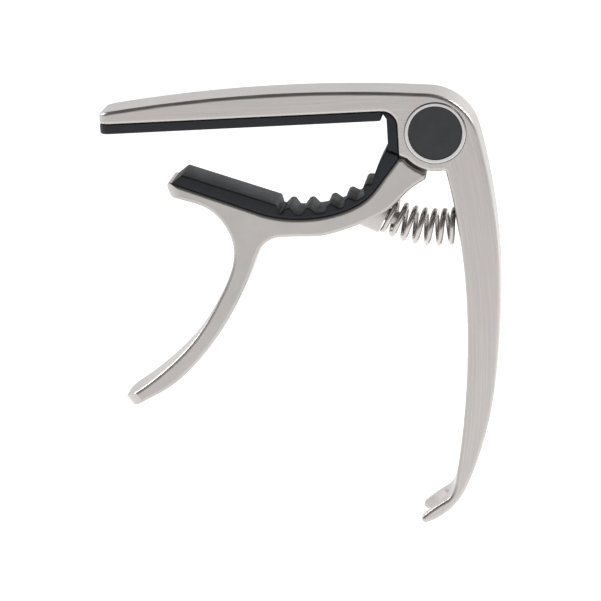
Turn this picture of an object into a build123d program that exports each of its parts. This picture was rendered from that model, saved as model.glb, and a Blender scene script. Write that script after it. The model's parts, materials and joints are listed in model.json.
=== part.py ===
from build123d import *
from math import cos, sin, pi, radians
import os

os.makedirs("parts", exist_ok=True)

# A spring capo for a guitar neck, held by two castings that pinch at a pivot.
# The string arm lies over the strings and runs on into the rear handle, which
# ends in a fork for lifting bridge pins. The neck jaw hangs in a slot of the
# string arm, cradles the back of the neck and carries the front handle.
#
# Frame: the origin is the middle of the string pad's clamping face. +X runs
# along the string arm towards the pivot, +Z points away from the strings, and
# the castings are mirrored about Y = 0. All sizes are in millimetres. Outlines
# of the side view are drawn on Plane.XZ, as (x, z).

# ---- Castings -----------------------------------------------------------------
casting_depth = 12.4       # both castings, from cheek to cheek
half_depth = casting_depth / 2
edge_round = 0.7          # broken edge all round the outside of both castings
tip_corner = 2.2           # plan radius at the free ends of the arm and the jaw

# ---- Pads ---------------------------------------------------------------------
pad_length = 55.0          # spans a fretboard 43 to 54 wide
pad_thickness = 1.8
pad_depth = casting_depth - 0.2
pad_edge = 0.35
web_height = 0.85          # rubber between the ridges
ridge_height = 2.15
ridge_radius = 0.85        # at the crest
ridge_half = 1.65          # half the width at the foot
pad_gap = 0.25             # between the neck pad and the throat pad

# ---- Pivot --------------------------------------------------------------------
pivot = (37.68, -2.71)
boss_radius = 7.55         # outside of the cheeks round the pivot
shoulder_radius = 7.95     # jaw shoulder that turns round the cheeks
tongue_radius = 5.2
tongue_depth = 4.8
washer_depth = 0.35
washer_play = 0.05         # between each washer and the tongue
slot_depth = tongue_depth + 2 * (washer_depth + washer_play)
slot_radius = tongue_radius + 0.4
washer_radius = 4.7
pin_radius = 2.0
running_fit = 0.03         # radial, the pin in the bush
bush_radius = 3.0
head_radius = 3.6
head_height = 1.0
head_seat = 4.1            # distance of the heads' seats from the middle
thread_radius = 1.25

# ---- Medallions over the pivot's ends -----------------------------------------
cap_radius = 5.95
cap_rim = 0.7
cap_floor = 0.4
cap_proud = 0.2            # rim above the cheek
cap_seat = 1.0             # depth of the recess that takes the medallion
glue_depth = 0.15
insert_depth = 0.5
insert_play = 0.05
recess_play = 0.08         # round a part that is dropped into a recess

# ---- Return spring ------------------------------------------------------------
spring_arc = 19.66         # its centre line is an arc round the pivot
spring_outside = 7.6
wire = 1.05
coil_radius = (spring_outside - wire) / 2
jaw_seat = -33.0           # degrees round the pivot from straight down
handle_seat = 16.0
coil_pitch = 6.235         # degrees per turn in the open part
closed_pitch = 3.2         # and at the ends, where the turns lie on each other
closed_turns = 0.8
points_per_turn = 12
fan_middle = -13.0         # a turn here lies in a plane through the pivot
fan = 0.7                  # the turns fan out less than the arc bends
seat_radius = 4.1
stud_radius = 1.4
stud_height = 3.2
pocket_radius = 4.2

# ---- Bridge-pin fork ----------------------------------------------------------
fork_slot = 8.2
fork_root = (36.2, -76.0)  # deepest point of the slot
fork_lean = 213.4          # direction from there towards the tips, degrees from +X
fork_reach = 7.0           # from the root to the tips


def side_plane(y=0):
    """The side view's plane at a depth, facing -Y."""
    return Plane(origin=(0, y, 0), x_dir=(1, 0, 0), z_dir=(0, -1, 0))


def pivot_plane(y=0):
    """Centred on the pivot at a depth, facing -Y."""
    return Plane(origin=(pivot[0], y, pivot[1]), x_dir=(1, 0, 0), z_dir=(0, -1, 0))


def plan_plane(x, z, lean):
    """Centred on a point of the side view: local x at a lean, local y along -Y."""
    way = Vector(cos(radians(lean)), 0, sin(radians(lean)))
    return Plane(origin=(x, 0, z), x_dir=way, z_dir=way.cross(Vector(0, -1, 0)))


def round_pivot(radius, angle):
    """(x, z) at a radius from the pivot and an angle in degrees from straight down."""
    return (pivot[0] + radius * sin(radians(angle)), pivot[1] - radius * cos(radians(angle)))


def arc_from(previous, end):
    """The next arc of an outline, tangent to the line or arc before it."""
    return TangentArc(previous @ 1, end, tangent=previous % 1)


def turn_lean(angle):
    """Direction in which the spring's turn faces, at an angle round the pivot."""
    return fan_middle + fan * (angle - fan_middle)


def across_spring(angle):
    """Lies in the plane of the spring's turn at an angle, facing the rear handle."""
    x, z = round_pivot(spring_arc, angle)
    lean = radians(turn_lean(angle))
    return Plane(origin=(x, 0, z), x_dir=(0, 1, 0), z_dir=(cos(lean), 0, sin(lean)))


# ---- String arm: clamping bar, pivot cheeks, rear handle and fork -------------
bar_end = -pad_length / 2
throat_x = 30.3            # face of the cheeks towards the neck
throat_corner = 2.8        # inside corner between that face and the bar
cheek_point = (throat_x, -6.85)
tine_width = half_depth - fork_slot / 2

with BuildPart() as string_arm:
    with BuildSketch(Plane.XZ) as arm_outline:
        with BuildLine():
            top = ThreePointArc((bar_end, 4.15), (5.0, 6.32), (36.5, 4.98))
            knee = arc_from(top, (45.9, -3.4))
            back = Spline(knee @ 1, (48.75, -29.0), (47.1, -50.6), tangents=[knee % 1, (-0.13, -0.99)])
            lower = arc_from(back, (40.4, -73.1))
            heel = arc_from(lower, (36.8, -77.9))
            sole = arc_from(heel, (31.85, -80.6))
            tip = arc_from(sole, (31.15, -79.2))
            tine = arc_from(tip, (35.8, -76.15))
            palm = ThreePointArc((37.94, -72.5), (40.8, -55.5), (41.95, -38.4))
            Spline(tine @ 1, palm @ 0, tangents=[tine % 1, palm % 0])
            inside = arc_from(palm, (39.25, -10.09))
            boss = ThreePointArc(inside @ 1, round_pivot(boss_radius, -20), round_pivot(boss_radius, -50))
            cheek = Polyline(boss @ 1, cheek_point, (throat_x, pad_thickness - throat_corner))
            throat = RadiusArc(cheek @ 1, (throat_x - throat_corner, pad_thickness), -throat_corner)
            Polyline(throat @ 1, (bar_end, pad_thickness), top @ 0)
        make_face()
        fillet(arm_outline.vertices().sort_by_distance(inside @ 1)[0], 0.6)
        fillet(arm_outline.vertices().sort_by_distance(cheek_point)[0], 0.4)
    extrude(amount=half_depth, both=True)
    # The bar's free end is rounded in plan, then every outside edge is broken.
    fillet(string_arm.edges().filter_by(Axis.Z).sort_by(Axis.X)[:2], tip_corner)
    sides = string_arm.faces().filter_by(Axis.Y)
    fillet(sides.edges() - sides.edges().filter_by(Axis.Z), edge_round)
    # Slot between the cheeks for the jaw's tongue, open below.
    with BuildSketch(Plane.XZ):
        with Locations(pivot):
            Circle(slot_radius)
        slot_wall = pivot[0] - slot_radius
        with BuildLine():
            Polyline(
                (slot_wall, pivot[1]), (slot_wall, -9.6), (39.6, -11.4),
                round_pivot(slot_radius, 44), pivot, close=True,
            )
        make_face()
    extrude(amount=slot_depth / 2, both=True, mode=Mode.SUBTRACT)
    # Pin hole through both cheeks, and at each end a recess for the head
    # under a wider one for the medallion.
    with BuildSketch(pivot_plane()):
        Circle(pin_radius)
    extrude(amount=half_depth, both=True, mode=Mode.SUBTRACT)
    for side in (-1, 1):
        with BuildSketch(pivot_plane(side * (half_depth - cap_seat))):
            Circle(cap_radius + recess_play)
        extrude(amount=-side * 2 * cap_seat, mode=Mode.SUBTRACT)
        with BuildSketch(pivot_plane(side * head_seat)):
            Circle(head_radius + recess_play)
        extrude(amount=-side * 2 * head_height, mode=Mode.SUBTRACT)
    # Blind pocket in the rear handle, with a stud, for the spring's end.
    with BuildSketch(across_spring(handle_seat)):
        Circle(pocket_radius)
        Circle(stud_radius, mode=Mode.SUBTRACT)
    extrude(amount=-4.0, mode=Mode.SUBTRACT)
    # The fork: a slot with a round root, between two tines with round tips.
    with BuildSketch(plan_plane(*fork_root, fork_lean)):
        with Locations((fork_slot / 2, 0)):
            Circle(fork_slot / 2)
        with Locations((fork_slot / 2 + 5, 0)):
            Rectangle(10, fork_slot)
        for side in (-1, 1):
            with Locations((fork_reach, side * (half_depth - tine_width / 2))):
                Rectangle(tine_width, tine_width + 0.1)
            with Locations((fork_reach - tine_width / 2, side * (half_depth - tine_width / 2))):
                Circle(tine_width / 2, mode=Mode.SUBTRACT)
    extrude(amount=6, both=True, mode=Mode.SUBTRACT)

string_arm.part.label = "string_arm"
export_step(string_arm.part, "parts/string_arm.step")

# ---- Neck jaw: cradle, front handle, tongue and spring seat -------------------
jaw_tip = (-14.75, -9.93)
jaw_nose = (-15.1, -11.5)
flat_end = (2.2, -16.71)
throat_start = (27.5, -10.8)
shoulder_point = (30.3, -7.4)
handle_tip = (-26.55, -53.95)
handle_lean = 213.5
handle_tip_radius = 7.6    # in plan
jaw_tip_lean = 198.0


def cradle(start):
    """The jaw's bed for the neck pad: straight, hollow, then up the throat."""
    flat = Line(start, flat_end)
    hollow = Spline(
        flat @ 1, (11.4, -18.37), (18.5, -17.4), (23.4, -15.2), throat_start,
        tangents=[flat % 1, (2.8, 3.4)],
    )
    rise = Line(hollow @ 1, shoulder_point)
    return flat, hollow, rise


with BuildPart() as neck_jaw:
    with BuildSketch(Plane.XZ) as jaw_outline:
        with BuildLine():
            flat, hollow, rise = cradle(jaw_tip)
            shoulder = ThreePointArc(
                round_pivot(shoulder_radius, -53), round_pivot(shoulder_radius, -38),
                round_pivot(shoulder_radius, -24),
            )
            Line(rise @ 1, shoulder @ 0)
            nose = Polyline(shoulder @ 1, (35.5, -10.75), (35.3, -11.7))
            belly = Spline(
                nose @ 1, (32.3, -13.5), (28.6, -16.8), (22.2, -19.97), (15.0, -21.9), (6.4, -21.9),
                tangents=[(-0.8, -0.45), (-1, -0.02)],
            )
            crotch = arc_from(belly, (1.8, -25.0))
            palm = Spline(
                crotch @ 1, (-0.3, -29.8), (-2.9, -34.8), (-9.7, -44.25), (-17.7, -51.25), (-24.9, -54.9),
                tangents=[crotch % 1, (-0.87, -0.5)],
            )
            end = arc_from(palm, (-26.1, -52.75))
            fingers = Spline(
                end @ 1, (-18.5, -47.75), (-11.75, -41.5), (-5.9, -32.8), (-2.85, -23.4), (-6.9, -16.0),
                (-13.9, -13.1), tangents=[end % 1, (-0.94, 0.34)],
            )
            tip_arc = arc_from(fingers, jaw_nose)
            arc_from(tip_arc, jaw_tip)
        make_face()
        fillet(jaw_outline.vertices().sort_by_distance(nose @ 1)[0], 0.4)
        fillet(jaw_outline.vertices().sort_by_distance(nose @ 0.6)[0], 0.3)
        fillet(jaw_outline.vertices().sort_by_distance(jaw_tip)[0], 0.5)
    extrude(amount=half_depth, both=True)
    sides = neck_jaw.faces().filter_by(Axis.Y)
    fillet(sides.edges(), edge_round)
    # The handle's end is round in plan, and so are the corners of the jaw's tip.
    with BuildSketch(plan_plane(*handle_tip, handle_lean)):
        with Locations((-0.6, 0)):
            Rectangle(5.2, casting_depth + 1)
        with Locations((-handle_tip_radius, 0)):
            Circle(handle_tip_radius, mode=Mode.SUBTRACT)
    extrude(amount=6, both=True, mode=Mode.SUBTRACT)
    with BuildSketch(plan_plane(*jaw_nose, jaw_tip_lean)):
        with Locations((-tip_corner / 2 + 0.5, 0)):
            Rectangle(tip_corner + 1, casting_depth + 1)
        with Locations((-casting_depth / 2, 0)):
            RectangleRounded(casting_depth, casting_depth, tip_corner, mode=Mode.SUBTRACT)
    extrude(amount=3, both=True, mode=Mode.SUBTRACT)
    # Round seat for the spring on the underside, with a web below it.
    with BuildSketch(across_spring(jaw_seat)):
        Circle(seat_radius)
    extrude(amount=-3.2)
    with BuildSketch(across_spring(jaw_seat)):
        Circle(seat_radius)
        with Locations((0, seat_radius - 1.5)):
            Rectangle(2 * seat_radius, 2 * seat_radius, mode=Mode.SUBTRACT)
    extrude(amount=-6)
    with BuildSketch(across_spring(jaw_seat)):
        Circle(stud_radius)
    extrude(amount=stud_height)
    # Tongue that fills the slot between the cheeks, bored for the bush.
    with BuildSketch(Plane.XZ):
        with Locations(pivot):
            Circle(tongue_radius)
        with BuildLine():
            Polyline(
                (32.5, -3.5), (32.3, -9.5), (34.8, -11.0), (38.9, -7.5), pivot, close=True,
            )
        make_face()
        with Locations(pivot):
            Circle(bush_radius, mode=Mode.SUBTRACT)
    extrude(amount=tongue_depth / 2, both=True)

neck_jaw.part.label = "neck_jaw"
export_step(neck_jaw.part, "parts/neck_jaw.step")

# ---- Rubber linings -----------------------------------------------------------
with BuildPart() as string_pad:
    with BuildSketch(Plane.XZ) as strip:
        with Locations((0, pad_thickness / 2)):
            Rectangle(pad_length, pad_thickness)
        fillet(strip.vertices().sort_by_distance((pad_length / 2, 0))[0], 0.8)
    extrude(amount=pad_depth / 2, both=True)
    fillet(string_pad.edges().filter_by(Axis.Z).sort_by(Axis.X)[:2], tip_corner - 0.1)
    fillet(string_pad.faces().sort_by(Axis.Z)[0].edges(), pad_edge)

string_pad.part.label = "string_pad"
export_step(string_pad.part, "parts/string_pad.step")

# The throat pad lines the cheeks and meets the neck pad on a slanted line.
throat_face = 28.1
with BuildPart() as throat_pad:
    with BuildSketch(Plane.XZ) as lining:
        with BuildLine():
            curve = RadiusArc(
                (throat_x, pad_thickness - throat_corner), (throat_x - throat_corner, pad_thickness),
                -throat_corner,
            )
            Polyline(
                curve @ 1, (throat_face, 0.9), (throat_face, -5.45), (throat_x, -6.45), curve @ 0,
            )
        make_face()
    extrude(amount=pad_depth / 2, both=True)
    side_edges = throat_pad.faces().filter_by(Axis.Y).edges()
    fillet(side_edges.filter_by_position(Axis.X, throat_face - 0.1, throat_face + 0.1), pad_edge)

throat_pad.part.label = "throat_pad"
export_step(throat_pad.part, "parts/throat_pad.step")

# The neck pad is smooth and thick towards the jaw's tip, ribbed in the hollow
# and smooth again up the throat.
ridge_places = (0.223, 0.366, 0.535, 0.675, 0.858)     # along the hollow's length
web_start, web_end, web_steps = 0.2, 0.87, 8
crest_lean = 50            # degrees of the crest's arc on each side, where the flanks begin
pad_corner = (-11.95, -8.65)
flat_corner = (6.15, -15.4)


def above(curve, along, height):
    """Point at a height over a curve of the cradle, square to it."""
    way = (curve % along).normalized()
    return curve @ along + Vector(-way.Y, way.X) * height


with BuildPart() as neck_pad:
    with BuildSketch(Plane.XZ) as pad_outline:
        with BuildLine():
            flat, hollow, rise = cradle((-14.1, -10.19))
            web_step = (web_end - web_start) / (web_steps - 1)
            web = Spline([above(hollow, web_start + step * web_step, web_height) for step in range(web_steps)])
            upper = Spline((24.8, -12.35), (25.5, -10.3), (26.57, -8.11), (27.2, -6.98), (27.9, -5.75))
            Line(web @ 1, upper @ 0)
            Polyline(upper @ 1, (30.15, -6.75), rise @ 1)
            Polyline(flat @ 0, pad_corner, flat_corner, (6.55, -17.0), web @ 0)
        make_face()
        fillet(pad_outline.vertices().sort_by_distance(pad_corner)[0], 0.5)
        fillet(pad_outline.vertices().sort_by_distance(flat_corner)[0], 0.6)
        # Each ridge is a round crest on two straight flanks.
        centre_height = ridge_height - ridge_radius
        crest_half = ridge_radius * sin(radians(crest_lean))
        crest_height = centre_height + ridge_radius * cos(radians(crest_lean))
        for place in ridge_places:
            with Locations(above(hollow, place, centre_height)):
                Circle(ridge_radius)
            with BuildLine():
                Polyline(
                    above(hollow, place - ridge_half / hollow.length, web_height - 0.2),
                    above(hollow, place - crest_half / hollow.length, crest_height),
                    above(hollow, place + crest_half / hollow.length, crest_height),
                    above(hollow, place + ridge_half / hollow.length, web_height - 0.2),
                    close=True,
                )
            make_face()
    extrude(amount=pad_depth / 2, both=True)

neck_pad.part.label = "neck_pad"
export_step(neck_pad.part, "parts/neck_pad.step")

# ---- Return spring ------------------------------------------------------------
# The wire is wound on an arc. Its ends lie flat on the two seats.
half_wire = wire / spring_arc * 90 / pi
coil_start = jaw_seat + half_wire
coil_span = handle_seat - half_wire - coil_start
closing = (coil_pitch - closed_pitch) * closed_turns
turns = (coil_span + closing) / coil_pitch


def coil_point(turn):
    """Middle of the wire after a number of turns, the near side rising to +X."""
    start = min(turn, closed_turns)
    finish = max(turn - (turns - closed_turns), 0)
    lost = (coil_pitch - closed_pitch) / closed_turns / 2
    angle = coil_start + coil_pitch * turn - closing / 2
    angle += lost * ((closed_turns - start) ** 2 - finish ** 2)
    x, z = round_pivot(spring_arc, angle)
    lean = radians(turn_lean(angle))
    up = coil_radius * cos(2 * pi * turn)
    return (x + up * sin(lean), -coil_radius * sin(2 * pi * turn), z - up * cos(lean))


with BuildPart() as return_spring:
    steps = round(turns * points_per_turn)
    with BuildLine():
        helix = Spline([coil_point(turns * step / steps) for step in range(steps + 1)])
    with BuildSketch(Plane(origin=helix @ 0, z_dir=helix % 0)):
        Circle(wire / 2)
    sweep()

return_spring.part.label = "return_spring"
export_step(return_spring.part, "parts/return_spring.step")

# ---- Pivot: threaded barrel, screw, bush and washers --------------------------
# The barrel comes in from the front, the screw draws it up from the back.
barrel_end = head_seat - 0.2
driver_slot = 0.8
with BuildPart() as pivot_barrel:
    with BuildSketch(pivot_plane(-head_seat)):
        Circle(pin_radius)
    extrude(amount=-(head_seat + barrel_end))
    with BuildSketch(pivot_plane(-head_seat)):
        Circle(head_radius)
    extrude(amount=head_height)
    with BuildSketch(pivot_plane(barrel_end)):
        Circle(thread_radius)
    extrude(amount=6, mode=Mode.SUBTRACT)
    with BuildSketch(pivot_plane(-head_seat - head_height)):
        Rectangle(5.6, driver_slot)
    extrude(amount=-0.5, mode=Mode.SUBTRACT)

pivot_barrel.part.label = "pivot_barrel"
export_step(pivot_barrel.part, "parts/pivot_barrel.step")

with BuildPart() as pivot_screw:
    with BuildSketch(pivot_plane(head_seat)):
        Circle(head_radius)
    extrude(amount=-head_height)
    with BuildSketch(pivot_plane(head_seat)):
        Circle(thread_radius)
    extrude(amount=5)
    with BuildSketch(pivot_plane(head_seat + head_height)):
        Rectangle(5.6, driver_slot)
    extrude(amount=0.5, mode=Mode.SUBTRACT)

pivot_screw.part.label = "pivot_screw"
export_step(pivot_screw.part, "parts/pivot_screw.step")

with BuildPart() as jaw_bush:
    with BuildSketch(pivot_plane()):
        Circle(bush_radius)
        Circle(pin_radius + running_fit, mode=Mode.SUBTRACT)
    extrude(amount=tongue_depth / 2, both=True)

jaw_bush.part.label = "jaw_bush"
export_step(jaw_bush.part, "parts/jaw_bush.step")


def ring(outside, inside, side, start, end):
    """Flat ring round the pivot between two depths, on the front or back side."""
    with BuildPart() as body:
        with BuildSketch(pivot_plane(side * start)):
            Circle(outside)
            Circle(inside, mode=Mode.SUBTRACT)
        extrude(amount=-side * (end - start))
    return body.part


def cap_cup(side, start):
    """Metal cup of a medallion, its rim bevelled on the outside."""
    with BuildPart() as body:
        with BuildSketch(pivot_plane(side * start)):
            Circle(cap_radius)
        extrude(amount=-side * (half_depth + cap_proud - start))
        with BuildSketch(pivot_plane(side * (start + cap_floor))):
            Circle(cap_radius - cap_rim)
        extrude(amount=-side * 3, mode=Mode.SUBTRACT)
        rim = body.faces().sort_by(Axis.Y)[0 if side < 0 else -1]
        fillet(rim.edges().sort_by(SortBy.LENGTH)[-1], 0.25)
    return body.part


def cap_disc(side, start):
    """Plain dark disc that fills a medallion's cup."""
    with BuildPart() as body:
        with BuildSketch(pivot_plane(side * start)):
            Circle(cap_radius - cap_rim - insert_play)
        extrude(amount=-side * insert_depth)
        face = body.faces().sort_by(Axis.Y)[0 if side < 0 else -1]
        fillet(face.edges(), 0.12)
    return body.part


slot_wall_depth = slot_depth / 2
glue_face = half_depth - cap_seat
for name, side in (("front", -1), ("rear", 1)):
    pieces = {
        name + "_thrust_washer": ring(
            washer_radius, pin_radius + 0.05, side, slot_wall_depth - washer_depth, slot_wall_depth
        ),
        name + "_cap_glue": ring(
            cap_radius - 0.25, head_radius + 0.3, side, glue_face, glue_face + glue_depth
        ),
        name + "_cap_ring": cap_cup(side, glue_face + glue_depth),
        name + "_cap_insert": cap_disc(side, glue_face + glue_depth + cap_floor),
    }
    for label, piece in pieces.items():
        piece.label = label
        export_step(piece, "parts/" + label + ".step")
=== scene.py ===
# %% [markdown]
# # A guitar capo in satin nickel and rubber
#
# A capo pinches a guitar's neck, so that its padded bar holds all the strings down at one fret.
# This one is two castings on a pivot. A coil spring on an arc pushes their handles apart, and a
# squeeze of the hand opens the mouth. Here those pieces get their finishes, and the soft or bending
# ones, the rubber pads and the spring, are made again as meshes with finer detail.

# %% Load the CAD model and keep its box
import json
from math import cos, degrees, pi, radians, sin
import bmesh
import bpy
from mathutils import Matrix, Vector
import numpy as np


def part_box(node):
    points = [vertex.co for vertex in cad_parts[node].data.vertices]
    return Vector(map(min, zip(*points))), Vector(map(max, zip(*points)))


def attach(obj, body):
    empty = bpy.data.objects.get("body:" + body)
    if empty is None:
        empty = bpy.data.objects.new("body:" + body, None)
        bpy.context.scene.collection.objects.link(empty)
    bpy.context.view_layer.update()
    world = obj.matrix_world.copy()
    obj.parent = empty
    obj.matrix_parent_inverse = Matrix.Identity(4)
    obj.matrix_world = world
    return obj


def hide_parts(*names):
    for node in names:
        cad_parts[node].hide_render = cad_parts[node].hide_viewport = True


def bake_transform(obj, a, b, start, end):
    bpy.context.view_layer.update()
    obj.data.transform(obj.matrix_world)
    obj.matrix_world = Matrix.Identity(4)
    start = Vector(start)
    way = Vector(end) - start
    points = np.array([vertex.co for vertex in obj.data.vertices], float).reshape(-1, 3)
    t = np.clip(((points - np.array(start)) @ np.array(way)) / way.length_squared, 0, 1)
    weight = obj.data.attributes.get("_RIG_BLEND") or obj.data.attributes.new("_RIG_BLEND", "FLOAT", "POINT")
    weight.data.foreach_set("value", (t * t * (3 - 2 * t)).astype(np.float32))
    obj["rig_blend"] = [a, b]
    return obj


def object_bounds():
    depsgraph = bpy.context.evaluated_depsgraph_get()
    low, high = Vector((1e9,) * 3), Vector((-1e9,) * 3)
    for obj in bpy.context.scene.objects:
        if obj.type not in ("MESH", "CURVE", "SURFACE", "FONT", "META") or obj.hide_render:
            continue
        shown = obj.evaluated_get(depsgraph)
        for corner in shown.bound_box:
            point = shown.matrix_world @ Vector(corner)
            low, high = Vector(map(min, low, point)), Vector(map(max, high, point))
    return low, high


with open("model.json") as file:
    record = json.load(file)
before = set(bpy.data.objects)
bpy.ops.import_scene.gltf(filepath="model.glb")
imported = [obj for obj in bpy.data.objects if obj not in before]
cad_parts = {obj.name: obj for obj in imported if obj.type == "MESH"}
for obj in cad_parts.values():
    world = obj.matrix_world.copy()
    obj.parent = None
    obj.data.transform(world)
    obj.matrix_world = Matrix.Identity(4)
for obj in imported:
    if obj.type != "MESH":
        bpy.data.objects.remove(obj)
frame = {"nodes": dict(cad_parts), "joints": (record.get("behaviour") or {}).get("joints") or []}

cad_box = [list(corner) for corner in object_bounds()]
nodes = frame["nodes"]
MM = 0.001
print("CAD box in mm:", [[round(v / MM, 1) for v in corner] for corner in cad_box])

# %% [markdown]
# ## The camera
#
# A small object is best taken from some way off with a long lens, so that its two sides look
# equally large. The camera stands a little above the capo and a little to its right, and it leans
# slightly, as a hand-held one does. A lean can be built into the camera's own axes: the right and
# up directions are turned about the line of sight before they go into its matrix.

# %% Place the camera
AZIMUTH, ELEVATION, LEAN = radians(5.993), radians(12.548), radians(-3.698)
DISTANCE, LENS = 623.45 * MM, 189.4
look_at = Vector((8.997, 0, -35.895)) * MM

away = Vector((sin(AZIMUTH) * cos(ELEVATION), -cos(AZIMUTH) * cos(ELEVATION), sin(ELEVATION)))
level_right = Vector((cos(AZIMUTH), sin(AZIMUTH), 0))
level_up = away.cross(level_right)
right = level_right * cos(LEAN) + level_up * sin(LEAN)
up = away.cross(right)

camera = bpy.data.objects.new("camera", bpy.data.cameras.new("camera"))
bpy.context.scene.collection.objects.link(camera)
camera.data.sensor_width, camera.data.lens = 36.0, LENS
camera.data.clip_start, camera.data.clip_end = 0.05, 50.0
camera.matrix_world = Matrix((
    (right.x, up.x, away.x, look_at.x + away.x * DISTANCE),
    (right.y, up.y, away.y, look_at.y + away.y * DISTANCE),
    (right.z, up.z, away.z, look_at.z + away.z * DISTANCE),
    (0, 0, 0, 1),
))
bpy.context.scene.camera = camera
print("camera at", [round(v, 3) for v in camera.matrix_world.translation])

# %% [markdown]
# ## Helpers for finishes
#
# A finish here is a Principled shader whose colour, roughness and bump are driven by noise, so that
# no surface is perfectly even. The noise is read at the piece's own coordinates, which are metres,
# so a scale of 1000 makes grains of about a millimetre.
#
# Brushed metal is noise that is stretched along the strokes. On a straight bar it is enough to
# scale one axis less than the others. The long handle is curved, so its strokes are read in polar
# coordinates: the distance from a far centre runs across the strokes, the angle runs along them.

# %% A finish with its nodes
def finish(name, roughness, metallic=0.0, color=(0.8, 0.8, 0.8), specular=0.5):
    """A new material and its shader, with the even values set on the shader itself."""
    material = bpy.data.materials.new(name)
    material.use_nodes = True
    shader = material.node_tree.nodes["Principled BSDF"]
    shader.inputs["Base Color"].default_value = (*color, 1)
    shader.inputs["Metallic"].default_value = metallic
    shader.inputs["Roughness"].default_value = roughness
    shader.inputs["Specular IOR Level"].default_value = specular
    return material, shader


def add_node(material, kind, **values):
    """A node of a kind, with its named settings or inputs."""
    node = material.node_tree.nodes.new(kind)
    for key, value in values.items():
        if key in node.inputs:
            node.inputs[key].default_value = value
        else:
            setattr(node, key, value)
    return node


def join(material, start, end):
    """A link from one socket to another."""
    material.node_tree.links.new(start, end)


def place(material):
    """The piece's own coordinates, in metres."""
    return add_node(material, "ShaderNodeTexCoord").outputs["Object"]


def stretched(material, source, scale):
    """Coordinates scaled by a different amount along each axis."""
    node = add_node(material, "ShaderNodeMapping", Scale=scale)
    join(material, source, node.inputs["Vector"])
    return node.outputs["Vector"]


def noise(material, source, scale, detail=3.0, rough=0.55):
    """Noise from 0 to 1, read at some coordinates."""
    node = add_node(material, "ShaderNodeTexNoise", Scale=scale, Detail=detail, Roughness=rough)
    join(material, source, node.inputs["Vector"])
    return node.outputs["Fac"]


def blend_colors(material, factor, low, high):
    """A colour that runs from low to high with a factor."""
    ramp = add_node(material, "ShaderNodeValToRGB")
    ramp.color_ramp.elements[0].position, ramp.color_ramp.elements[1].position = 0.3, 0.7
    ramp.color_ramp.elements[0].color = (*low, 1)
    ramp.color_ramp.elements[1].color = (*high, 1)
    join(material, factor, ramp.inputs["Fac"])
    return ramp.outputs["Color"]


def spread(material, factor, low, high):
    """A number that runs from low to high with a factor."""
    node = add_node(material, "ShaderNodeMapRange")
    node.inputs["From Min"].default_value, node.inputs["From Max"].default_value = 0.3, 0.7
    node.inputs["To Min"].default_value, node.inputs["To Max"].default_value = low, high
    join(material, factor, node.inputs["Value"])
    return node.outputs["Result"]


def bump(material, shader, height, distance, strength=1.0):
    """Fine relief on the shader's normal. Distance is the relief's full height, in metres."""
    node = add_node(material, "ShaderNodeBump", Strength=strength, Distance=distance)
    join(material, height, node.inputs["Height"])
    join(material, node.outputs["Normal"], shader.inputs["Normal"])


def paint(node_name, material):
    """Gives a CAD piece its finish."""
    slots = nodes[node_name].data.materials
    slots.clear()
    slots.append(material)

# %% [markdown]
# ## Satin nickel, brushed lengthwise
#
# The string arm is a zinc casting, linished on a belt and plated with nickel. The belt leaves fine
# scratches along the bar and, on the rear handle, along its gentle curve. Scratches that are close
# and parallel widen a highlight across themselves and leave it short along themselves. An
# anisotropic shader could say that, but it draws no single scratch. Stretched noise gives the thin
# bright and dark lines that the eye reads as brushed metal. The same noise changes three things a
# little: the tone, the roughness and the relief.

# %% The string arm's nickel
STROKE_CENTRE = Vector((-112.0, 0, -38.0)) * MM   # the rear handle bends round this point
HANDLE_START = Vector((39.0, 0, -2.0)) * MM       # the strokes change direction on a line here
HANDLE_SIDE = (0.62, 0, -0.78)                    # square to that line, towards the handle
CHANGE_WIDTH = 5 * MM
ACROSS, ALONG_BAR, ALONG_HANDLE = 3200, 60, 9     # noise scales, the last per radian
MIX_FLOAT_A, MIX_FLOAT_B, MIX_FLOAT = 2, 3, 0     # the Mix node's sockets for numbers


def strokes_round(material, source, centre, across, along):
    """Coordinates for strokes that bend round a centre in the side view."""
    shift = add_node(material, "ShaderNodeVectorMath", operation="SUBTRACT")
    join(material, source, shift.inputs[0])
    shift.inputs[1].default_value = centre
    parts = add_node(material, "ShaderNodeSeparateXYZ")
    join(material, shift.outputs["Vector"], parts.inputs["Vector"])
    flat = add_node(material, "ShaderNodeCombineXYZ")
    join(material, parts.outputs["X"], flat.inputs["X"])
    join(material, parts.outputs["Z"], flat.inputs["Z"])
    radius = add_node(material, "ShaderNodeVectorMath", operation="LENGTH")
    join(material, flat.outputs["Vector"], radius.inputs[0])
    angle = add_node(material, "ShaderNodeMath", operation="ARCTAN2")
    join(material, parts.outputs["Z"], angle.inputs[0])
    join(material, parts.outputs["X"], angle.inputs[1])
    polar = add_node(material, "ShaderNodeCombineXYZ")
    join(material, radius.outputs["Value"], polar.inputs["X"])
    join(material, parts.outputs["Y"], polar.inputs["Y"])
    join(material, angle.outputs["Value"], polar.inputs["Z"])
    return stretched(material, polar.outputs["Vector"], (across, across, along))


def either(material, factor, first, second):
    """The first number where the factor is 0, the second where it is 1."""
    node = add_node(material, "ShaderNodeMix", data_type="FLOAT")
    join(material, factor, node.inputs["Factor"])
    join(material, first, node.inputs[MIX_FLOAT_A])
    join(material, second, node.inputs[MIX_FLOAT_B])
    return node.outputs[MIX_FLOAT]


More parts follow.
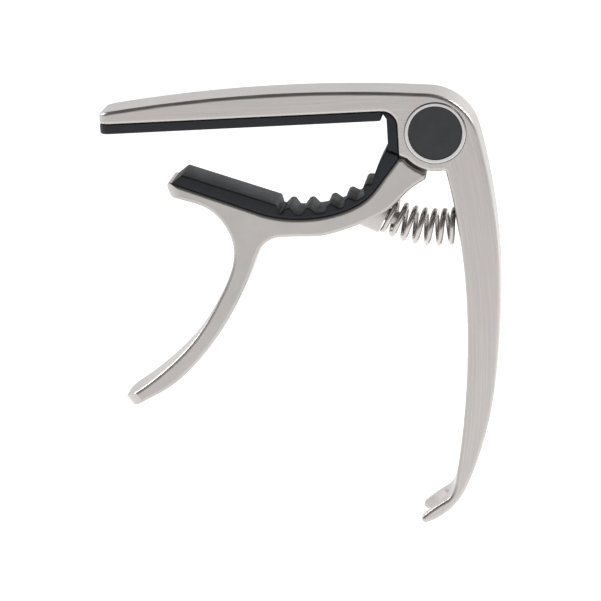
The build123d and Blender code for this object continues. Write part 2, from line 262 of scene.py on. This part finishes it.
def below_line(material, source, point, direction, width):
    """0 on the bar's side of a slanted line in the side view and 1 on the handle's side."""
    dot = add_node(material, "ShaderNodeVectorMath", operation="DOT_PRODUCT")
    shift = add_node(material, "ShaderNodeVectorMath", operation="SUBTRACT")
    join(material, source, shift.inputs[0])
    shift.inputs[1].default_value = point
    join(material, shift.outputs["Vector"], dot.inputs[0])
    dot.inputs[1].default_value = direction
    node = add_node(material, "ShaderNodeMapRange", interpolation_type="SMOOTHSTEP")
    node.inputs["From Min"].default_value = -width
    node.inputs["From Max"].default_value = width
    join(material, dot.outputs["Value"], node.inputs["Value"])
    return node.outputs["Result"]


brushed_nickel, shader = finish("brushed_nickel", 0.33, 1.0, (0.43, 0.41, 0.395))
where = place(brushed_nickel)
bar_strokes = stretched(brushed_nickel, where, (ALONG_BAR, ACROSS, ACROSS))
handle_strokes = strokes_round(brushed_nickel, where, STROKE_CENTRE, ACROSS, ALONG_HANDLE)
on_handle = below_line(brushed_nickel, where, HANDLE_START, HANDLE_SIDE, CHANGE_WIDTH)
scratches = either(
    brushed_nickel, on_handle,
    noise(brushed_nickel, bar_strokes, 1.0, 4.0, 0.6),
    noise(brushed_nickel, handle_strokes, 1.0, 4.0, 0.6),
)
tone = blend_colors(brushed_nickel, scratches, (0.435, 0.410, 0.391), (0.550, 0.524, 0.504))
join(brushed_nickel, tone, shader.inputs["Base Color"])
join(brushed_nickel, spread(brushed_nickel, scratches, 0.25, 0.42), shader.inputs["Roughness"])
bump(brushed_nickel, shader, scratches, 0.016 * MM, 0.7)
paint("string_arm", brushed_nickel)
print("strokes bend round", [round(v / MM, 1) for v in STROKE_CENTRE])

# %% [markdown]
# ## Blasted nickel
#
# The neck jaw has the same plating on a surface that was blasted with fine beads instead of
# brushed. It shows no direction, only a soft even grain, and its highlights are broad.

# %% The neck jaw's nickel
blasted_nickel, shader = finish("blasted_nickel", 0.36, 1.0, (0.43, 0.41, 0.395))
where = place(blasted_nickel)
grain = noise(blasted_nickel, where, 4200.0, 3.0)
cloud = noise(blasted_nickel, where, 110.0, 3.0)
tone = blend_colors(blasted_nickel, cloud, (0.435, 0.412, 0.394), (0.485, 0.462, 0.443))
join(blasted_nickel, tone, shader.inputs["Base Color"])
join(blasted_nickel, spread(blasted_nickel, grain, 0.28, 0.42), shader.inputs["Roughness"])
bump(blasted_nickel, shader, grain, 0.007 * MM, 0.5)
paint("neck_jaw", blasted_nickel)

# %% [markdown]
# ## The small metal and plastic pieces of the pivot
#
# The pivot is a threaded barrel and a screw with a bronze bush and two nylon washers. Most of it is
# hidden, but the gaps beside the tongue let the eye in, so each piece has its own finish. Turned
# steel has fine rings, so its noise is read in polar coordinates round the pivot.

# %% Turned steel, bronze, nylon and set glue
joint = frame["joints"][0]
pivot = Vector(joint["pos_m"])

turned_steel, shader = finish("turned_steel", 0.3, 1.0, (0.52, 0.52, 0.53))
rings = strokes_round(turned_steel, place(turned_steel), pivot, 6000, 1.5)
turning = noise(turned_steel, rings, 1.0, 2.0)
join(turned_steel, spread(turned_steel, turning, 0.22, 0.36), shader.inputs["Roughness"])
bump(turned_steel, shader, turning, 0.004 * MM, 0.5)

bronze, shader = finish("bronze", 0.35, 1.0, (0.58, 0.39, 0.19))
cloud = noise(bronze, place(bronze), 900.0)
tone = blend_colors(bronze, cloud, (0.50, 0.33, 0.16), (0.63, 0.43, 0.21))
join(bronze, tone, shader.inputs["Base Color"])

nylon, shader = finish("nylon", 0.45, 0.0, (0.78, 0.77, 0.72))
cloud = noise(nylon, place(nylon), 700.0)
tone = blend_colors(nylon, cloud, (0.74, 0.73, 0.68), (0.80, 0.79, 0.75))
join(nylon, tone, shader.inputs["Base Color"])

set_glue, shader = finish("set_glue", 0.4, 0.0, (0.62, 0.56, 0.40))
lumps = noise(set_glue, place(set_glue), 1500.0)
tone = blend_colors(set_glue, lumps, (0.58, 0.52, 0.36), (0.68, 0.62, 0.46))
join(set_glue, tone, shader.inputs["Base Color"])
bump(set_glue, shader, lumps, 0.05 * MM, 0.5)

for name in ("pivot_barrel", "pivot_screw"):
    paint(name, turned_steel)
paint("jaw_bush", bronze)
for side in ("front", "rear"):
    paint(side + "_thrust_washer", nylon)
    paint(side + "_cap_glue", set_glue)
print("joint", joint["name"], "opens to", joint["range_deg"][1], "degrees")

# %% [markdown]
# ## The medallions
#
# A shallow metal cup covers each end of the pivot, and a plain dark disc fills it. The cup's rim is
# satin and a little brighter than the castings. The disc is smooth resin, almost black, with the
# faintest unevenness, so that it doesn't look like a hole.

# %% Cup metal and dark resin
cup_metal, shader = finish("cup_metal", 0.26, 1.0, (0.58, 0.565, 0.56))
rings = strokes_round(cup_metal, place(cup_metal), pivot, 5000, 2.0)
turning = noise(cup_metal, rings, 1.0, 2.0)
join(cup_metal, spread(cup_metal, turning, 0.2, 0.34), shader.inputs["Roughness"])
bump(cup_metal, shader, turning, 0.003 * MM, 0.5)

dark_resin, shader = finish("dark_resin", 0.42, 0.0, (0.022, 0.024, 0.028), 0.45)
cloud = noise(dark_resin, place(dark_resin), 600.0)
tone = blend_colors(dark_resin, cloud, (0.019, 0.021, 0.025), (0.026, 0.028, 0.032))
join(dark_resin, tone, shader.inputs["Base Color"])
bump(dark_resin, shader, noise(dark_resin, place(dark_resin), 5000.0), 0.002 * MM, 0.4)
for side in ("front", "rear"):
    paint(side + "_cap_ring", cup_metal)
    paint(side + "_cap_insert", dark_resin)

# %% [markdown]
# ## Rubber
#
# The pads are moulded in a black rubber with a trace of blue. Rubber reflects little and scatters
# it widely, so its colour hardly shows and its form is read from the soft light on its rounded
# edges. A fine grain from the mould keeps the faces from looking like plastic, and paler dusty
# patches break up the black.

# %% Moulded rubber
moulded_rubber, shader = finish("moulded_rubber", 0.62, 0.0, (0.015, 0.017, 0.021), 0.32)
where = place(moulded_rubber)
dust = noise(moulded_rubber, where, 260.0, 5.0, 0.6)
grain = noise(moulded_rubber, where, 5500.0, 2.0)
tone = blend_colors(moulded_rubber, dust, (0.011, 0.013, 0.017), (0.020, 0.022, 0.027))
join(moulded_rubber, tone, shader.inputs["Base Color"])
join(moulded_rubber, spread(moulded_rubber, dust, 0.55, 0.7), shader.inputs["Roughness"])
bump(moulded_rubber, shader, grain, 0.02 * MM, 0.5)

# %% [markdown]
# ## How the pads are made
#
# Each pad has one outline across the whole depth of the capo and soft edges where the mould was
# rounded. That is just what a filled 2D curve with an extrusion and a bevel gives: the curve's
# offset is set to minus the bevel, so that the rounded edge stays inside the outline. The result is
# turned into a mesh, and the curve's plane is stood up to be the side view's.

# %% A slab with soft edges from an outline
PAD_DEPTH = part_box("string_pad")[1].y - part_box("string_pad")[0].y


def soft_slab(name, outline, depth, edge, body, replaced):
    """A moulded slab over a closed outline of (x, z) points in mm, centred on Y = 0."""
    curve = bpy.data.curves.new(name, "CURVE")
    curve.dimensions, curve.fill_mode = "2D", "BOTH"
    curve.extrude, curve.bevel_depth, curve.offset = depth / 2 - edge, edge, -edge
    curve.bevel_resolution = 4
    spline = curve.splines.new("POLY")
    spline.points.add(len(outline) - 1)
    for point, (x, z) in zip(spline.points, outline):
        point.co = (x * MM, z * MM, 0, 1)
    spline.use_cyclic_u = True
    drawn = bpy.data.objects.new(name + "_curve", curve)
    bpy.context.scene.collection.objects.link(drawn)
    depsgraph = bpy.context.evaluated_depsgraph_get()
    mesh = bpy.data.meshes.new_from_object(drawn.evaluated_get(depsgraph))
    bpy.data.objects.remove(drawn)
    mesh.transform(Matrix.Rotation(pi / 2, 4, "X"))
    shaped = bmesh.new()
    shaped.from_mesh(mesh)
    bmesh.ops.remove_doubles(shaped, verts=shaped.verts, dist=0.002 * MM)
    bmesh.ops.recalc_face_normals(shaped, faces=shaped.faces)
    shaped.to_mesh(mesh)
    shaped.free()
    mesh.shade_smooth()
    mesh.set_sharp_from_angle(angle=radians(40))
    mesh.materials.clear()
    mesh.materials.append(moulded_rubber)
    piece = bpy.data.objects.new(name, mesh)
    bpy.context.scene.collection.objects.link(piece)
    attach(piece, body)
    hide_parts(replaced)
    print(name, "faces", len(mesh.polygons))
    return piece


# %% [markdown]
# ## The pads
#
# The neck pad is smooth and thick at the jaw's tip, ribbed in the hollow and smooth again up the
# throat. The throat pad lines the cheeks above it. Their outlines are the CAD pieces' own: the
# edges that border the flat side are walked round in order.

# %% Walk round a piece's side
def side_outline(node_name):
    """The closed outline of a CAD piece's flat side, as (x, z) points in mm."""
    mesh = nodes[node_name].data
    side = max(v.co.y for v in mesh.vertices)
    spot = [(round(v.co.x / MM, 3), round(v.co.z / MM, 3)) for v in mesh.vertices]
    used = {}
    for face in mesh.polygons:
        if all(abs(mesh.vertices[v].co.y - side) < 0.001 * MM for v in face.vertices):
            for start, end in face.edge_keys:
                edge = frozenset((spot[start], spot[end]))
                used[edge] = used.get(edge, 0) + 1
    after = {}
    for edge in [edge for edge, count in used.items() if count == 1 and len(edge) == 2]:
        start, end = edge
        after.setdefault(start, []).append(end)
        after.setdefault(end, []).append(start)
    path = [min(after)]
    while True:
        onward = [spot for spot in after[path[-1]] if spot not in path[-2:]]
        if not onward or onward[0] == path[0]:
            return path
        path.append(onward[0])


# %% Mould the neck pad and the throat pad
NECK_PAD_EDGE, THROAT_PAD_EDGE = 0.35 * MM, 0.3 * MM
soft_slab(
    "moulded_neck_pad", side_outline("neck_pad"), PAD_DEPTH, NECK_PAD_EDGE, "jaw", "neck_pad",
)
soft_slab(
    "moulded_throat_pad", side_outline("throat_pad"), PAD_DEPTH, THROAT_PAD_EDGE, "arm",
    "throat_pad",
)

# %% [markdown]
# ## The string pad
#
# The string pad is a flat strip, so its outline is drawn in plan: square by the throat, rounded at
# the bar's tip. It lies flat under the bar, and only its lower edges are soft.

# %% Mould the string pad
pad_low, pad_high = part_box("string_pad")
TIP_ROUND, PAD_EDGE, END_ROUND = 2.1, 0.35, 0.8    # mm
THROAT_CORNER = 0.4


def corner(x, y, start, radius, steps=8):
    """Points of a quarter round about a centre, from an angle in degrees."""
    turns = [radians(start + 90 * k / steps) for k in range(steps + 1)]
    return [(x + radius * cos(a), y + radius * sin(a)) for a in turns]


long_half, deep_half = pad_high.x / MM, pad_high.y / MM
plan = [
    *corner(long_half - THROAT_CORNER, deep_half - THROAT_CORNER, 0, THROAT_CORNER),
    *corner(TIP_ROUND - long_half, deep_half - TIP_ROUND, 90, TIP_ROUND),
    *corner(TIP_ROUND - long_half, TIP_ROUND - deep_half, 180, TIP_ROUND),
    *corner(long_half - THROAT_CORNER, THROAT_CORNER - deep_half, 270, THROAT_CORNER),
]
shaped = bmesh.new()
levels = [(0.0, PAD_EDGE)]
for step in (22.5, 45, 67.5, 90):
    turned = radians(step)
    levels.append((PAD_EDGE * (1 - cos(turned)), PAD_EDGE * (1 - sin(turned))))
levels += [(pad_high.z / MM, 0.0)]
rows = []
for level, inset in levels:
    row = []
    for k, (x, y) in enumerate(plan):
        before, after = Vector(plan[k - 1]), Vector(plan[(k + 1) % len(plan)])
        along = (after - before).normalized()
        inside = Vector((-along.y, along.x)) * inset
        x, y = x + inside.x, y + inside.y
        past = max(x - (long_half - END_ROUND), 0)
        lifted = END_ROUND - (END_ROUND ** 2 - min(past, END_ROUND) ** 2) ** 0.5
        row.append(shaped.verts.new((x * MM, y * MM, max(level, lifted) * MM)))
    rows.append(row)
for low, high in zip(rows, rows[1:]):
    for k in range(len(plan)):
        shaped.faces.new((low[k - 1], low[k], high[k], high[k - 1]))
shaped.faces.new(rows[0][::-1])
shaped.faces.new(rows[-1])
bmesh.ops.recalc_face_normals(shaped, faces=shaped.faces)
pad_mesh = bpy.data.meshes.new("moulded_string_pad")
shaped.to_mesh(pad_mesh)
shaped.free()
pad_mesh.shade_smooth()
pad_mesh.set_sharp_from_angle(angle=radians(40))
pad_mesh.materials.append(moulded_rubber)
string_pad = bpy.data.objects.new("moulded_string_pad", pad_mesh)
bpy.context.scene.collection.objects.link(string_pad)
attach(string_pad, "arm")
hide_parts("string_pad")
print("string pad in mm:", [round(v / MM, 2) for v in pad_high - pad_low])

# %% [markdown]
# ## The return spring
#
# The spring is bright nickel-plated wire, wound on an arc round the pivot, with its last turns
# nearly closed. A curve with a round bevel would draw it at rest, but a spring has to close up as
# the jaw opens. So it is a tube mesh, made ring by ring along the wire, and every ring gets its own
# share of the jaw's turn: all of it at the jaw's seat, none at the handle's. The wire then stays
# round and the turns close evenly. The sizes below are the CAD spring's own.

# %% Where the wire runs
ARC, COIL, WIRE = 19.66, 3.275, 1.05            # mm: the arc, the coil's radius, the wire
SEAT_ANGLE, PITCH, CLOSED_PITCH, CLOSED_TURNS = -33.0, 6.235, 3.2, 0.8
HANDLE_ANGLE, FAN_MIDDLE, FAN = 16.0, -13.0, 0.7
half_wire = degrees(WIRE / 2 / ARC)
coil_start = SEAT_ANGLE + half_wire
coil_span = HANDLE_ANGLE - half_wire - coil_start
closing = (PITCH - CLOSED_PITCH) * CLOSED_TURNS
TURNS = (coil_span + closing) / PITCH


def coil_angle(turn):
    """The angle round the pivot, from straight down, after a number of turns."""
    left_at_start = CLOSED_TURNS - min(turn, CLOSED_TURNS)
    into_end = max(turn - (TURNS - CLOSED_TURNS), 0)
    lost = (PITCH - CLOSED_PITCH) / CLOSED_TURNS / 2
    even = coil_start + PITCH * turn - closing / 2
    return even + lost * (left_at_start ** 2 - into_end ** 2)


def coil_point(turn):
    """The middle of the wire after a number of turns, in metres."""
    angle = radians(coil_angle(turn))
    lean = radians(FAN_MIDDLE + FAN * (coil_angle(turn) - FAN_MIDDLE))
    over = COIL * cos(2 * pi * turn)
    return pivot + Vector((
        ARC * sin(angle) + over * sin(lean),
        -COIL * sin(2 * pi * turn),
        -ARC * cos(angle) - over * cos(lean),
    )) * MM


print("turns of wire:", round(TURNS, 2))

# %% Bend the tube ring by ring
RINGS_PER_TURN, RING_POINTS = 40, 16
AHEAD = 0.002           # turns, to find the wire's direction
CHAMFER = 0.86          # radius of the cut ends, as a share of the wire's
rings = round(TURNS * RINGS_PER_TURN)
shaped = bmesh.new()
share = shaped.verts.layers.float.new("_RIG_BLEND")
sideways = Vector((0, 1, 0))
loops = []
for ring in range(rings + 1):
    turn = TURNS * ring / rings
    middle = coil_point(turn)
    ahead = coil_point(min(turn + AHEAD, TURNS)) - coil_point(max(turn - AHEAD, 0))
    ahead.normalize()
    sideways = (sideways - ahead * sideways.dot(ahead)).normalized()
    other = ahead.cross(sideways)
    loop = []
    radius = WIRE / 2 * MM * (CHAMFER if ring in (0, rings) else 1.0)
    for k in range(RING_POINTS):
        turned = 2 * pi * k / RING_POINTS
        outward = sideways * cos(turned) + other * sin(turned)
        vertex = shaped.verts.new(middle + outward * radius)
        vertex[share] = (coil_angle(turn) - coil_start) / coil_span
        loop.append(vertex)
    loops.append(loop)
for near, far in zip(loops, loops[1:]):
    for k in range(RING_POINTS):
        shaped.faces.new((near[k], near[k - 1], far[k - 1], far[k]))
shaped.faces.new(loops[0])
shaped.faces.new(loops[-1][::-1])
bmesh.ops.recalc_face_normals(shaped, faces=shaped.faces)
spring_mesh = bpy.data.meshes.new("coil_spring")
shaped.to_mesh(spring_mesh)
shaped.free()
spring_mesh.shade_smooth()
spring_mesh.set_sharp_from_angle(angle=radians(50))

# %% [markdown]
# ## Bright wire
#
# Drawn wire is smooth and its plating is polished, so it mirrors its surroundings sharply. Each turn
# shows them squeezed into thin bright and dark lines. The finish needs only a low roughness and
# the slightest marks of drawing.

# %% Bright wire
bright_wire, shader = finish("bright_wire", 0.12, 1.0, (0.50, 0.475, 0.45))
drawn_marks = noise(bright_wire, place(bright_wire), 2600.0, 2.0)
join(bright_wire, spread(bright_wire, drawn_marks, 0.08, 0.17), shader.inputs["Roughness"])
bump(bright_wire, shader, drawn_marks, 0.004 * MM, 0.4)
spring_mesh.materials.append(bright_wire)

# %% [markdown]
# ## Tie the spring to both castings
#
# It measures the share along a straight line and eases it at both ends, which would squeeze the
# middle turns. This wire runs on an arc and its turns should close evenly, so the share is worked
# out ring by ring in the tube.

# %% Give each ring its share
coil_spring = bpy.data.objects.new("coil_spring", spring_mesh)
bpy.context.scene.collection.objects.link(coil_spring)
ring_share = [value.value for value in spring_mesh.attributes["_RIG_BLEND"].data]
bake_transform(coil_spring, "jaw", "arm", start=coil_point(0), end=coil_point(TURNS))
spring_mesh.attributes["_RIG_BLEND"].data.foreach_set("value", ring_share)
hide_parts("return_spring")
print("coil faces", len(spring_mesh.polygons))

# %% [markdown]
# ## Floor and light
#
# Metal looks like what stands round it. A capo in white light with nothing dark about it would be a
# flat grey shape. So the room is bright near the horizon behind the capo, and dim overhead and on
# the camera's side, and two soft boxes stand high on the left and on the right. The flat sides then
# mirror the pale floor in front, the top mirrors the bright background, and the rounded edges
# between them turn through the dim part and show as thin dark lines.

# %% Floor
FLOOR_DROP, FLOOR_REACH = 0.11, 12.0     # the capo is held up; the floor runs to the horizon
FLOOR = cad_box[0][2] - FLOOR_DROP
floor_mesh = bpy.data.meshes.new("floor")
corners = [(-1, -1), (1, -1), (1, 1), (-1, 1)]
floor_mesh.from_pydata(
    [(x * FLOOR_REACH, y * FLOOR_REACH, FLOOR) for x, y in corners], [], [(0, 1, 2, 3)],
)
floor = bpy.data.objects.new("floor", floor_mesh)
bpy.context.scene.collection.objects.link(floor)
floor_paper, shader = finish("floor_paper", 0.9, 0.0, (0.60, 0.60, 0.60), 0.0)
shader.inputs["Emission Color"].default_value = (1, 1, 1, 1)
shader.inputs["Emission Strength"].default_value = 0.86
floor_mesh.materials.append(floor_paper)
print("floor at", round(FLOOR / MM, 1), "mm")

# %% Two soft boxes
def soft_box(name, place_at, width, power):
    """A square light that faces the capo."""
    lamp = bpy.data.lights.new(name, "AREA")
    lamp.shape, lamp.size = "SQUARE", width
    lamp.energy = power
    box = bpy.data.objects.new(name, lamp)
    box.location = place_at
    box.rotation_euler = (look_at - Vector(place_at)).to_track_quat("-Z", "Y").to_euler()
    bpy.context.scene.collection.objects.link(box)
    print(name, "at", place_at, "power", power)


soft_box("left_box", (-0.75, 0.25, 0.55), 0.5, 5.5)
soft_box("right_box", (0.75, 0.35, 0.60), 0.5, 8.0)

# %% The room
room = bpy.data.worlds.new("room")
bpy.context.scene.world = room
room.use_nodes = True
surroundings = room.node_tree.nodes["Background"]
parts = add_node(room, "ShaderNodeSeparateXYZ")
join(room, add_node(room, "ShaderNodeTexCoord").outputs["Generated"], parts.inputs["Vector"])


def sky(stops):
    """A grey that depends on the height of a direction, as (height, grey) stops."""
    ramp = add_node(room, "ShaderNodeValToRGB")
    ends = ramp.color_ramp.elements
    ends[0].position, ends[1].position = stops[0][0], stops[-1][0]
    for height, grey in stops[1:-1]:
        ends.new(height)
    for end, (height, grey) in zip(ends, stops):
        end.color = (grey, grey, grey, 1)
    join(room, parts.outputs["Z"], ramp.inputs["Fac"])
    return ramp.outputs["Color"]


behind = sky([(0.0, 1.0), (0.33, 1.0), (0.5, 0.35), (0.9, 0.10)])
before = sky([(0.0, 0.62), (0.25, 0.22), (0.9, 0.10)])
to_back = add_node(room, "ShaderNodeMapRange", interpolation_type="SMOOTHSTEP")
to_back.inputs["From Min"].default_value = -0.45
to_back.inputs["From Max"].default_value = 0.35
join(room, parts.outputs["Y"], to_back.inputs["Value"])
MIX_COLOR_A, MIX_COLOR_B, MIX_COLOR = 6, 7, 2     # the Mix node's sockets for colours
mixed = add_node(room, "ShaderNodeMix", data_type="RGBA")
join(room, to_back.outputs["Result"], mixed.inputs["Factor"])
join(room, before, mixed.inputs[MIX_COLOR_A])
join(room, behind, mixed.inputs[MIX_COLOR_B])
join(room, mixed.outputs[MIX_COLOR], surroundings.inputs["Color"])
surroundings.inputs["Strength"].default_value = 1.1
print("room strength", surroundings.inputs["Strength"].default_value)

bpy.context.scene.view_settings.view_transform = "Standard"
bpy.context.scene.view_settings.look = "None"
